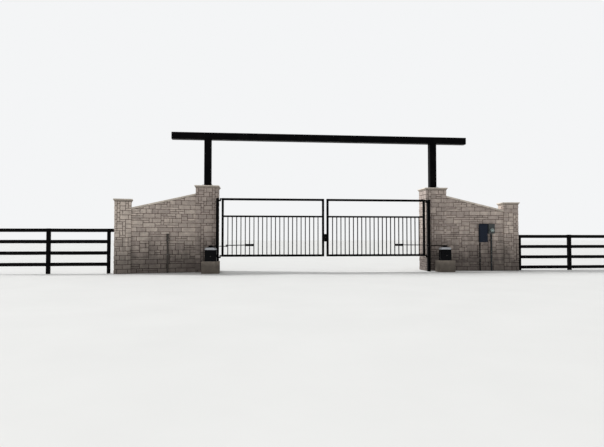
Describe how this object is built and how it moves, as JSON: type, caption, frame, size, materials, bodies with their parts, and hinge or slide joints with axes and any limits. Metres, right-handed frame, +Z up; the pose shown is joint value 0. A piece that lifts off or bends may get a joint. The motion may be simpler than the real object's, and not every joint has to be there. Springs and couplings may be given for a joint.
{
  "type": "ranch entrance gateway",
  "caption": "Stone pillars and sloping wing walls under a steel header beam, with a pair of picketed swing gate leaves worked by crank-arm operators, and rail fence on both sides.",
  "frame": {"origin": "middle of the driveway, in the plane of the main pillars' front faces, at the lowest ground that any foot runs down to", "axes": "+X along the gateway to the side with the meter, +Y away from the side that the leaves open towards, +Z up"},
  "size_m": [22.9358, 1.8421, 5.029],
  "materials": {
    "wall_stone": "matte",
    "cap_stone": "matte",
    "concrete": "matte",
    "gate_black": "satin",
    "arm_steel": "satin",
    "operator_shell": "matte",
    "fence_black": "matte",
    "enclosure_grey": "satin",
    "meter_glass": "gloss"
  },
  "bodies": {
    "gateway": {"left_main_pillar": "wall_stone", "right_main_pillar": "wall_stone", "left_main_cap": "cap_stone", "right_main_cap": "cap_stone", "left_outer_pillar": "wall_stone", "right_outer_pillar": "wall_stone", "left_outer_cap": "cap_stone", "right_outer_cap": "cap_stone", "left_wing_wall": "wall_stone", "right_wing_wall": "wall_stone", "left_coping": "cap_stone", "right_coping": "cap_stone", "left_beam_post": "gate_black", "right_beam_post": "gate_black", "header_beam": "gate_black", "left_hinge_post": "gate_black", "right_hinge_post": "gate_black", "left_operator_pad": "concrete", "right_operator_pad": "concrete", "left_operator": "operator_shell", "right_operator": "operator_shell", "left_fence_posts": "fence_black", "right_fence_posts": "fence_black", "left_near_rails": "fence_black", "right_near_rails": "fence_black", "left_far_rails": "fence_black", "right_far_rails": "fence_black", "panel_box": "enclosure_grey", "panel_door": "enclosure_grey", "panel_conduit": "enclosure_grey", "meter_socket": "enclosure_grey", "meter_glass": "meter_glass", "meter_conduit": "enclosure_grey", "wall_riser": "enclosure_grey"},
    "left_leaf": {"left_leaf_frame": "gate_black", "left_pickets": "gate_black", "left_arm_bracket": "gate_black"},
    "right_leaf": {"right_leaf_frame": "gate_black", "right_pickets": "gate_black", "right_arm_bracket": "gate_black", "gate_lock": "arm_steel"},
    "left_crank": {"left_crank": "arm_steel"},
    "right_crank": {"right_crank": "arm_steel"},
    "left_rod": {"left_rod": "arm_steel"},
    "right_rod": {"right_rod": "arm_steel"}
  },
  "joints": [
    {"name": "left_leaf_hinge", "type": "hinge", "parent": "gateway", "child": "left_leaf", "pos_m": [-3.702, -0.29, 0.555], "axis": [0, 0, -1], "range_deg": [0, 90]},
    {"name": "right_leaf_hinge", "type": "hinge", "parent": "gateway", "child": "right_leaf", "pos_m": [3.702, -0.29, 0.555], "axis": [0, 0, 1], "range_deg": [0, 90]},
    {"name": "left_crank_turn", "type": "hinge", "parent": "gateway", "child": "left_crank", "pos_m": [-4, -0.56, 0.9], "axis": [0, 0, -1], "range_deg": [0, 115]},
    {"name": "left_rod_turn", "type": "hinge", "parent": "left_leaf", "child": "left_rod", "pos_m": [-2.8, -0.3745, 0.963], "axis": [0, 0, -1], "range_deg": [-27, 0]},
    {"name": "right_crank_turn", "type": "hinge", "parent": "gateway", "child": "right_crank", "pos_m": [4.3, -0.56, 0.9], "axis": [0, 0, 1], "range_deg": [0, 110]},
    {"name": "right_rod_turn", "type": "hinge", "parent": "right_leaf", "child": "right_rod", "pos_m": [2.8, -0.3745, 0.963], "axis": [0, 0, 1], "range_deg": [-66, 0]}
  ],
  "couplings": [
    {"joint": "left_crank_turn", "follows": "left_leaf_hinge", "ratio": 1.2739},
    {"joint": "left_rod_turn", "follows": "left_leaf_hinge", "ratio": -0.2984},
    {"joint": "right_crank_turn", "follows": "right_leaf_hinge", "ratio": 1.2166},
    {"joint": "right_rod_turn", "follows": "right_leaf_hinge", "ratio": -0.72894}
  ]
}
